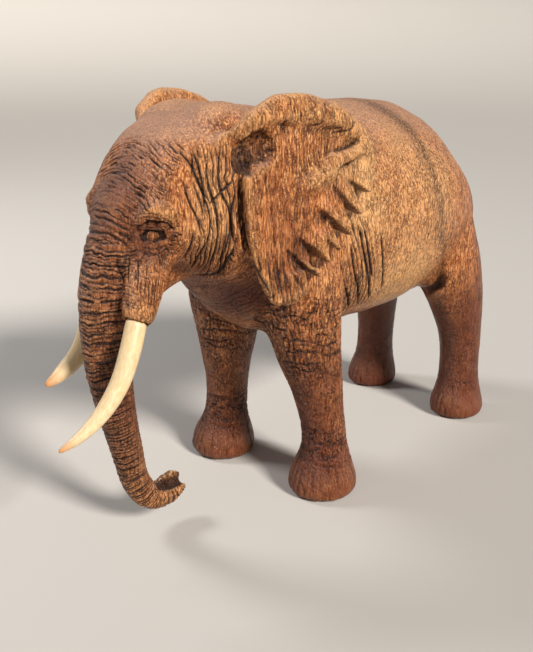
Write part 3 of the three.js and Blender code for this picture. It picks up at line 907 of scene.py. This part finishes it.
def wrinkle_body(skin, side):
    """Hanging folds behind the ear."""
    x, y, z = skin.points.T
    for cut in BODY_CUTS:
        skin.stroke(on_side(cut, side, 0.4 * EAR_SETBACK[side]), width=0.3, depth=0.75, fade=0.15)
    slanted = y + 0.42 * (z - 60)
    area = band(slanted, -44, -38, -25, -16) * band(z, 46, 50, 72, 80)
    area *= smooth(13, 17, np.abs(x)) * (x * side > 0) * smooth(-35, -31, y)
    skin.score(BODY_FOLDS, area, slanted, z)
    skin.score(BODY_FINE, area, slanted + 0.4, z)


def wrinkle_barrel(skin):
    """A fine net over the sides of the barrel, and a few short cuts."""
    x, y, z = skin.points.T
    area = band(y, -34, -28, 20, 48) * band(z, 40, 48, 90, 99) * smooth(14, 18, np.abs(x))
    net = cracks(61, x / 2.0, y / 1.7, z / 2.6, width=0.14)
    skin.carve(net * area * noise(62, y / 8, z / 8), 0.14, 0.5)
    skin.score(BARREL_CUTS, area, y + 0.2 * z, z)


LEG_X = 18.5
LEG_LEAN = [0, 14, 31, 53, 66], [0, 0.5, 2.8, 5.6, 6]  # heights, and how far inward the leg's middle is
LEG_HEIGHTS = [0, 21, 42, 53]
# A pair of legs: where its soles are from front to back, how much further back the left one is, the top of
# the carved skin and how deep it is, how far back the leg's middle is at LEG_HEIGHTS, and the height and
# depth of each fold at the ankle.
Leg = namedtuple("Leg", "foot_y stagger top strength back folds")
ANKLE_FOLDS = ((10.6, 0.5), (12.6, 0.4), (15.4, 0.3), (18.6, 0.3))
FORELEG = Leg(-36.5, 1, 60, 1.0, [0, 0.4, -2.4, -3.6], ANKLE_FOLDS)
HIND_LEG = Leg(36.5, -1.5, 44, 0.45, [0, 0.4, -3, -7], ((10.4, 0.4), (12.6, 0.25)))
LEG_RINGS = Knife(72, 1.5, 2.8, 0.15, 0.5, 1.2, 0.3, 0.95)
LEG_CUTS = Knife(73, 1.0, 2.6, 0.15, 0.5, 1.6, 0.28, 0.9)
FOOT_CUTS = Knife(76, 1.9, 7, 0.16, 0.5, 1.0, 0.22, 0.6)
TOES = (-68, -36, -4, 28, 60)  # degrees round from straight ahead
TOENAIL = (1.75, 2.5)  # half its width and half its height
TOENAIL_MIDDLE = 2.3  # its height above the ground
FOOT_RADIUS = 9.4


def wrinkle_leg(skin, leg, side):
    """Crosshatched skin, folds at the ankle, and toenails round the foot."""
    x, y, z = skin.points.T
    dx = x - side * (LEG_X - np.interp(z, *LEG_LEAN))
    dy = y - leg.foot_y - leg.stagger * side - np.interp(z, LEG_HEIGHTS, leg.back)
    away, turn = np.hypot(dx, dy), np.arctan2(dy, dx)
    area = smooth(leg.top, leg.top - 6, z) * smooth(15, 13.5, away) * smooth(7, 14, z)
    area *= 1 - 0.5 * band(z, 17, 22, 31, 38)
    slack = 1.2 * noise(71, z / 5, turn * 2)
    level = z + slack + 0.6 * np.cos(turn - 0.6)
    across = turn * 8
    jag = 0.7 * noise(75, z / 1.1, across / 1.1)
    skin.score(LEG_RINGS, area, level + jag, across, share=leg.strength)
    skin.score(LEG_CUTS, area, across + 0.4 * slack + jag, z, share=leg.strength)
    if leg is FORELEG:
        skin.carve(cracks(74, x / 1.1, y / 1.1, z, width=0.16) * area, 0.16, 0.55)
    foot = smooth(13.5, 12, away) * band(z, 0.8, 2.5, 8, 13)
    skin.score(FOOT_CUTS, foot, across + 0.3 * slack, z)
    ahead = smooth(0.3, -0.6, np.sin(turn))
    for height, depth in leg.folds:
        ring = bell(level - height - 0.6, 0.4) * smooth(12, 10.5, away) * (0.35 + 0.65 * ahead)
        skin.carve(ring * noise(int(height * 10), turn * 3, z * 0), depth, 0.7)
    carve_toes(skin, away, turn)


def carve_toes(skin, away, turn):
    """Rounded toenails, each raised a little in a fine groove."""
    close = smooth(11.5, 10.5, away) * (skin.z < 7)
    for toe in TOES:
        angle = math.radians(toe) - math.pi / 2
        gap = (turn - angle + math.pi) % (2 * math.pi) - math.pi
        nail = np.hypot(gap * FOOT_RADIUS / TOENAIL[0], (skin.z - TOENAIL_MIDDLE) / TOENAIL[1])
        skin.carve(bell(nail - 1.08, 0.15) * close * (skin.z > 0.2), 0.14, 0.3)
        skin.depth -= 0.12 * smooth(1.05, 0.5, nail) * close


def hand_cut(skin):
    """The slight facets and waves that a hand tool leaves everywhere."""
    broad = noise(81, skin.x / 5, skin.y / 5, skin.z / 6) - 0.5
    small = noise(82, skin.x / 1.7, skin.y / 1.7, skin.z / 2.4) - 0.5
    skin.depth += 0.3 * broad + 0.1 * small


def wanted_fine(points):
    """Where the mesh is split once: the head with ears and trunk, the sides, the forelegs and the feet."""
    x, y, z = points.T
    head = y < -29
    folds = (y < -12) & (z > 44) & (z < 84) & (np.abs(x) > 12)
    forelegs = (y < -22) & (z < 50)
    flank = (np.abs(x) > 15) & (z > 38) & (y < 46)
    return head | folds | forelegs | flank | (z < 7.5)


def wanted_finest(points):
    """Where the mesh is split again: the face, the trunk, and the folds behind the ears."""
    x, y, z = points.T
    face = (y < -67.5) & (z > 62) & (z < 98) & (np.abs(x) < 20)
    folds = (y > -42) & (y < -12) & (z > 47) & (z < 80) & (np.abs(x) > 13)
    trunk = (y < -80) & (z <= 62)
    return face | folds | trunk


def carved_body():
    """The body's finished points and faces, with the values that its material reads."""
    wood = rough_out()
    points, quads = wood.quads(stride=2)
    loose = []
    points, quads = refine(points, quads, loose, wanted_fine(points[quads].mean(1)))
    points, quads = refine(points, quads, loose, wanted_finest(points[quads].mean(1)))
    skin = Skin(wood, wood.settle(points))
    wrinkle_trunk(skin)
    wrinkle_forehead(skin)
    for side in SIDES:
        wrinkle_cheek(skin, side)
        wrinkle_face(skin, side)
        wrinkle_ear(skin, side)
        wrinkle_body(skin, side)
        for leg in (FORELEG, HIND_LEG):
            wrinkle_leg(skin, leg, side)
        carve_eye(skin, side)
    wrinkle_barrel(skin)
    hand_cut(skin)
    skin.depth[skin.z < SOLE_EDGE] = 0
    moved = skin.points - skin.normals * skin.depth[:, None]
    moved[:, 2] = np.maximum(moved[:, 2], 0)
    openness = wood.sample(moved, wood.soft) / 1.2
    shade = {
        "stain": np.clip(skin.stain, 0, 1),
        "hollow": np.clip(-openness, -smooth(2, 16, moved[:, 2]), 1),
        "tone": tones_and_painted_light(skin),
        "streak_and_shade": dark_streak_and_thigh_shade(skin),
        "cut": cut_strength(skin),
    }
    return moved, quads.tolist() + loose, shade


# Darker and paler regions, the same on both sides, several of them painted light on lit parts and painted
# shade on shaded ones: middle, size, and how much paler (darker, below 0).
TONE_AND_LIGHT_SPOTS = [
    ((0, -88, 40), (14, 12, 44), -0.75),  # trunk
    ((0, -86, 84), (12, 8, 10), -0.3),  # forehead
    ((22, -52, 84), (6, 16, 16), -0.25),  # ear
    # painted light on the lit rear edge of the ear
    ((26, -34, 90), (6, 7, 12), 0.7),  # ear's rear edge
    # painted light on the lit flank
    ((24, -6, 78), (12, 26, 22), 0.55),  # flank
    ((26, -47, 88), (6, 8, 3.4), 0.55),  # crackled patch of the ear
    # painted light on the lit shoulder
    ((26, -28, 76), (8, 7, 12), 0.6),  # shoulder
    # painted light on the lit lower flank
    ((20, -8, 54), (12, 22, 10), 0.75),  # lower flank
    # painted light on the lit cheek
    ((16, -73, 83), (6, 6, 13), 0.65),  # cheek
    ((25, -50, 100), (5, 14, 6), 0.35),  # ear's top
    # painted shadow on the chest under the jaw
    ((10, -57, 58), (13, 10, 10), -0.7),  # chest
    ((26, -60, 74), (5, 7, 12), -0.2),  # ear's front edge
    # painted shade on the forefoot and the foreleg
    ((18, -38, 4), (14, 14, 12), -0.7),  # forefoot
    ((18, -38, 30), (14, 14, 24), -0.55),  # foreleg
    # painted shade on the hind leg
    ((16, 38, 20), (18, 22, 36), -1.0),  # hind leg
    # painted shade on the rump
    ((12, 50, 76), (24, 18, 30), -0.45),  # rump
    ((0, -30, 104), (26, 60, 10), 0.1),  # crown and back
]


def tones_and_painted_light(skin):
    """Where handling and oil have made the wood darker (below 0) or left it lighter (above 0), and where
    light and shade are painted: paler on lit parts, darker on shaded parts and round the eyes.
    """
    x, y, z = skin.points.T
    places = np.stack([np.abs(x), y, z], 1)
    total = skin.tone + 0.35 * (noise(91, x / 9, y / 9, z / 22) - 0.5)
    for middle, size, paler in TONE_AND_LIGHT_SPOTS:
        total += paler * np.exp(-(((places - middle) / size) ** 2).sum(1))
    return total


def cut_strength(skin):
    """How strongly small cuts and pores show: most on the sides and legs, least on the crown and feet."""
    upward = smooth(0.35, 0.9, skin.normals[:, 2]) * smooth(50, 60, skin.z)
    legs = smooth(66, 54, skin.z) * smooth(-22, -26, skin.y)
    foot = smooth(12, 5, skin.z)
    return np.clip(0.78 + 0.22 * legs - 0.3 * upward - 0.45 * foot, 0, 1)


def dark_streak_and_thigh_shade(skin):
    """A band of dark grain that crosses the back, and comes down in front of the left thigh as painted
    shade.
    """
    x, y, z = skin.points.T
    middle = -6.5 + 0.36 * x + 0.75 * np.maximum(68 - z, 0) + 3 * (noise(92, x / 9, z / 12) - 0.5)
    gap = (y - middle) / np.interp(z, [50, 95, 103], [2.0, 3.2, 5.0])
    patchy = 0.45 + 0.75 * noise(93, x / 4, y / 1.6, z / 6)
    return np.exp(-(gap**2)) * smooth(44, 66, z) * smooth(-4, 8, x) * patchy


# --- Materials ---


class Nodes:
    """A material being wired, with short calls for the nodes it uses."""

    def __init__(self, name):
        self.material = bpy.data.materials.new(name)
        self.material.use_nodes = True
        self.tree = self.material.node_tree
        self.shader = self.tree.nodes["Principled BSDF"]

    def add(self, kind, inputs=(), **settings):
        node = self.tree.nodes.new(kind)
        for key, value in settings.items():
            setattr(node, key, value)
        for key, value in dict(inputs).items():
            self.feed(node.inputs[key], value)
        return node

    def feed(self, socket, value):
        if isinstance(value, bpy.types.NodeSocket):
            self.tree.links.new(value, socket)
        else:
            socket.default_value = value

    def math(self, operation, a, b):
        return self.add("ShaderNodeMath", {0: a, 1: b}, operation=operation).outputs[0]

    def plus(self, a, b):
        return self.math("ADD", a, b)

    def times(self, a, b):
        return self.math("MULTIPLY", a, b)

    def vector(self, operation, a, b):
        return self.add("ShaderNodeVectorMath", {0: a, 1: b}, operation=operation).outputs[0]

    def step(self, low, high, value):
        inputs = {"Value": value, "From Min": low, "From Max": high}
        return self.add("ShaderNodeMapRange", inputs, interpolation_type="SMOOTHSTEP").outputs[0]

    def attribute(self, name):
        return self.add("ShaderNodeAttribute", attribute_name=name).outputs["Fac"]

    def mix(self, share, a, b):
        node = self.add("ShaderNodeMix", data_type="RGBA")
        self.feed(node.inputs["Factor"], share)
        self.feed(node.inputs["A"], a)
        self.feed(node.inputs["B"], b)
        return node.outputs["Result"]

    def layered(self, base, layers):
        """The base with colours laid over it: each has a mask, how much of it counts, and the colour."""
        for mask, strength, colour in layers:
            base = self.mix(self.times(mask, strength), base, colour)
        return base

    def millimetres(self):
        """The place on the object, in millimetres."""
        place = self.add("ShaderNodeTexCoord").outputs["Object"]
        return self.vector("MULTIPLY", place, (1000, 1000, 1000))

    def noise(self, place, scales, detail=4.0, rough=0.55, distortion=0.0):
        """Smooth noise from 0 to 1, with as many waves a millimetre as the scales say."""
        place = self.vector("MULTIPLY", place, scales)
        inputs = {"Vector": place, "Scale": 1.0, "Detail": detail}
        inputs |= {"Roughness": rough, "Distortion": distortion}
        return self.add("ShaderNodeTexNoise", inputs).outputs["Fac"]

    def warped(self, place, scale, amount):
        """The place moved a little to and fro, so that straight walls and lines bend."""
        source = self.add("ShaderNodeTexNoise", {"Vector": place, "Scale": scale, "Detail": 2.0})
        shift = self.vector("SUBTRACT", source.outputs["Color"], (0.5, 0.5, 0.5))
        return self.vector("ADD", place, self.vector("MULTIPLY", shift, (2 * amount,) * 3))

    def walls(self, place, scales):
        """The distance from the nearest wall of a net of uneven cells."""
        inputs = {"Vector": self.vector("MULTIPLY", place, scales), "Scale": 1.0}
        return self.add("ShaderNodeTexVoronoi", inputs, feature="DISTANCE_TO_EDGE").outputs["Distance"]

    def finish(self, colour, roughness, height, bump_distance):
        bump = self.add("ShaderNodeBump", {"Height": height, "Distance": bump_distance, "Strength": 1.0})
        self.feed(self.shader.inputs["Base Color"], colour)
        self.feed(self.shader.inputs["Roughness"], roughness)
        self.feed(self.shader.inputs["Normal"], bump.outputs["Normal"])
        return self.material


def rgb(red, green, blue):
    """A display colour, 0 to 255, as a linear colour for a shader."""
    linear = []
    for value in (red, green, blue):
        value /= 255
        linear.append(value / 12.92 if value <= 0.04045 else ((value + 0.055) / 1.055) ** 2.4)
    return (*linear, 1.0)


DARK_GRAIN, PALE_GRAIN, FIBRE = rgb(116, 54, 27), rgb(184, 102, 50), rgb(220, 142, 78)
END_GRAIN, PALE_AND_LIT_WOOD, OILED_AND_SHADED_WOOD = rgb(180, 142, 120), rgb(236, 180, 120), rgb(92, 37, 16)
PALE_RIDGE, WORN_FLECK, SHADED_HOLLOW = rgb(236, 176, 112), rgb(238, 180, 116), rgb(52, 23, 12)
STREAK_AND_SHADE, GRIT, NET = rgb(86, 66, 52), rgb(88, 46, 28), rgb(62, 28, 16)
PORE, STAIN_AND_SHADE = rgb(74, 35, 19), rgb(38, 15, 7)
TUSK_DARK, TUSK_PALE = rgb(206, 178, 134), rgb(224, 202, 162)
TUSK_CLOUD, TUSK_TIP = rgb(228, 190, 134), rgb(190, 130, 76)
WOOD_BUMP = 0.0006  # metres
TUSK_BUMP = 0.00008


def carved_wood():
    """Oiled reddish hardwood with upright grain: streaks and pores on the sides, dots and a paler colour on
    end grain, dark oil and painted shade in the cuts and hollows, paler ridges, and painted light and shade
    on lit and shaded parts."""
    n = Nodes("carved_wood")
    place = n.millimetres()
    fibre = n.noise(place, (2.4, 2.4, 0.2), detail=5, rough=0.7)
    broad = n.noise(place, (0.28, 0.28, 0.06), detail=4, rough=0.6, distortion=0.6)
    speck = n.noise(place, (2.5, 2.5, 0.45), detail=2, rough=0.6)
    grit = n.noise(place, (2.6, 2.6, 2.2), detail=3, rough=0.7)
    patch = n.step(0.35, 0.65, n.noise(place, (0.4, 0.4, 0.3), detail=2))
    cut, tone, hollow = n.attribute("cut"), n.attribute("tone"), n.attribute("hollow")
    net = n.step(0.11, 0.02, n.walls(n.warped(place, 1.1, 0.5), (1.1, 1.1, 0.7)))
    net = n.times(n.times(net, patch), n.step(0.3, 1.0, cut))
    pores = n.times(n.step(0.53, 0.63, speck), cut)
    flecks = n.times(n.step(0.47, 0.35, speck), cut)
    normal = n.add("ShaderNodeNewGeometry").outputs["True Normal"]
    upward = n.step(0.3, 0.9, n.add("ShaderNodeSeparateXYZ", {0: normal}).outputs["Z"])
    colour = n.mix(n.step(0.3, 0.7, broad), DARK_GRAIN, PALE_GRAIN)
    layers = [
        (n.step(0.4, 0.7, fibre), 1.0, FIBRE),
        (upward, 0.75, END_GRAIN),
        # paler on lit parts and darker on shaded parts, painted light and shade, besides the wood's uneven
        # colour
        (n.step(0.0, 0.9, tone), 0.8, PALE_AND_LIT_WOOD),
        (n.step(0.0, -0.7, tone), 0.85, OILED_AND_SHADED_WOOD),
        # paler on ridges, less so where the wood is painted darker
        (n.times(n.step(0.0, -0.6, hollow), n.step(-1.3, 0.2, tone)), 0.5, PALE_RIDGE),
        (n.step(0.05, 0.6, hollow), 0.85, SHADED_HOLLOW),
        # dark grain on the back, and painted shade where it comes down in front of the left thigh
        (n.attribute("streak_and_shade"), 0.75, STREAK_AND_SHADE),
        (n.times(flecks, n.step(-0.7, 0.3, tone)), 1.0, WORN_FLECK),
        (n.step(0.48, 0.7, grit), 0.42, GRIT),
        (net, 0.6, NET),
        (pores, 0.62, PORE),
        # dark oil in the cuts, and painted shade in creases, hollows, pleat walls and the trunk's channel
        (n.step(0.12, 0.85, n.attribute("stain")), 0.92, STAIN_AND_SHADE),
    ]
    relief = n.plus(n.times(fibre, 0.5), n.times(grit, 0.6))
    relief = n.math("SUBTRACT", relief, n.plus(n.times(pores, 0.45), n.times(net, 0.5)))
    roughness = n.plus(n.plus(0.24, n.times(upward, 0.22)), n.times(grit, 0.1))
    n.shader.inputs["Specular IOR Level"].default_value = 0.42
    return n.finish(n.layered(colour, layers), roughness, relief, WOOD_BUMP)


def pale_tusk():
    """Polished pale bone-coloured wood with hair-fine lines along the tusk, browner at the tip."""
    n = Nodes("pale_tusk")
    place = n.millimetres()
    lines = n.noise(place, (3.2, 0.9, 0.5), detail=5, rough=0.6)
    cloud = n.noise(place, (0.25, 0.2, 0.2), detail=3)
    colour = n.mix(n.step(0.3, 0.75, lines), TUSK_DARK, TUSK_PALE)
    layers = [(n.step(0.45, 0.75, cloud), 0.4, TUSK_CLOUD), (n.attribute("tip"), 1.0, TUSK_TIP)]
    return n.finish(n.layered(colour, layers), n.plus(0.3, n.times(lines, 0.14)), lines, TUSK_BUMP)


# --- Objects ---


def place_in_scene(name, data):
    thing = bpy.data.objects.new(name, data)
    bpy.context.scene.collection.objects.link(thing)
    return thing


def build_mesh(name, points, faces, values, material):
    mesh = bpy.data.meshes.new(name)
    mesh.from_pydata(to_row(points).tolist(), [], faces)
    mesh.polygons.foreach_set("use_smooth", [True] * len(mesh.polygons))
    for key, value in values.items():
        mesh.attributes.new(key, "FLOAT", "POINT").data.foreach_set("value", value.astype(np.float32))
    mesh.materials.append(material)
    mesh.validate()
    return place_in_scene(name, mesh)


def make_body():
    points, faces, shade = carved_body()
    piece = build_mesh("carved_body", points, faces, shade, carved_wood())
    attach(piece, "root")
    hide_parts("body")


TUSK_STEP = 0.22  # grid step of a tusk
TUSK_BLUR = 0.4


def make_tusk(node, material):
    ivory = Block(node, TUSK_STEP)
    ivory.values = ivory.blurred(TUSK_BLUR)
    points, quads = ivory.quads()
    points = ivory.settle(points, 1)
    foremost = points[:, 1].min()
    shade = {"tip": smooth(foremost + 5, foremost - 1, points[:, 1])}
    piece = build_mesh("carved_" + node, points, quads.tolist(), shade, material)
    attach(piece, "root")
    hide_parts(node)


# --- The stage, in metres ---

VIEW_AZIMUTH = 43.2  # degrees round from the front, towards the elephant's left
VIEW_ELEVATION = 18.4
VIEW_POINT = (0.1412, -0.15945, 0.112)  # where the camera stands, in the row's frame
FOCAL_HEIGHTS = 800 / 652  # focal length as a share of the picture's height
SENSOR = 36.0
FLOOR_RINGS = [(0.0, 0.0), (1.6, 0.0), (2.2, 0.02), (2.7, 0.12), (3.0, 0.35), (3.05, 0.8)]  # radius, height
FLOOR_TURNS = 64
LIGHTS = [  # name, kind, place, power, size (an angle for the sun) and colour
    ("key", "SUN", (0.75, -0.08, 0.54), 4.9, math.radians(13), (1.0, 0.955, 0.9)),
    ("front", "AREA", (0.15, -0.75, 0.50), 0.6, 0.55, (1.0, 0.96, 0.92)),
    ("glint", "AREA", (-0.45, -0.2, 0.5), 2.2, 0.16, (0.98, 0.98, 1.0)),
]
SKY_COLOUR = rgb(226, 226, 230)
SKY_STRENGTH = 0.19


def facing(direction):
    """The turn that points a camera or a light that way."""
    return Vector(direction).to_track_quat("-Z", "Y").to_euler()


def make_camera():
    data = bpy.data.cameras.new("camera")
    data.sensor_width = SENSOR
    data.lens = SENSOR * FOCAL_HEIGHTS
    data.clip_start, data.clip_end = 0.005, 20
    camera = place_in_scene("camera", data)
    a, e = math.radians(VIEW_AZIMUTH), math.radians(VIEW_ELEVATION)
    camera.location = VIEW_POINT
    camera.rotation_euler = facing((-math.sin(a) * math.cos(e), math.cos(a) * math.cos(e), -math.sin(e)))
    bpy.context.scene.camera = camera


def make_floor():
    """A pale floor that turns up softly far behind, like a shallow bowl."""
    angles = [2 * math.pi * k / FLOOR_TURNS for k in range(FLOOR_TURNS)]
    points = [(r * math.cos(a), r * math.sin(a), height) for r, height in FLOOR_RINGS for a in angles]
    faces = []
    for inner in range(0, len(points) - FLOOR_TURNS, FLOOR_TURNS):
        outer = inner + FLOOR_TURNS
        for k in range(FLOOR_TURNS):
            after = (k + 1) % FLOOR_TURNS
            faces.append((inner + k, inner + after, outer + after, outer + k))
    mesh = bpy.data.meshes.new("floor")
    mesh.from_pydata(points, [], faces)
    mesh.polygons.foreach_set("use_smooth", [True] * len(faces))
    n = Nodes("floor")
    for key, value in (("Base Color", rgb(190, 186, 180)), ("Roughness", 0.9), ("Specular IOR Level", 0.15)):
        n.feed(n.shader.inputs[key], value)
    mesh.materials.append(n.material)
    place_in_scene("floor", mesh)


def make_light(name, kind, place, power, size, colour):
    data = bpy.data.lights.new(name, kind)
    data.energy = power
    data.color = colour
    setattr(data, "angle" if kind == "SUN" else "size", size)
    lamp = place_in_scene(name, data)
    lamp.location = place
    lamp.rotation_euler = facing((cad_box[0] + cad_box[1]) / 2 - Vector(place))


def make_stage():
    make_floor()
    for light in LIGHTS:
        make_light(*light)
    world = bpy.data.worlds.new("studio")
    world.use_nodes = True
    background = world.node_tree.nodes["Background"]
    background.inputs["Color"].default_value = SKY_COLOUR
    background.inputs["Strength"].default_value = SKY_STRENGTH
    scene = bpy.context.scene
    scene.world = world
    scene.view_settings.view_transform = "Standard"


make_body()
tusk_material = pale_tusk()
for tusk_node in ("tusk_left", "tusk_right"):
    make_tusk(tusk_node, tusk_material)
make_stage()
make_camera()
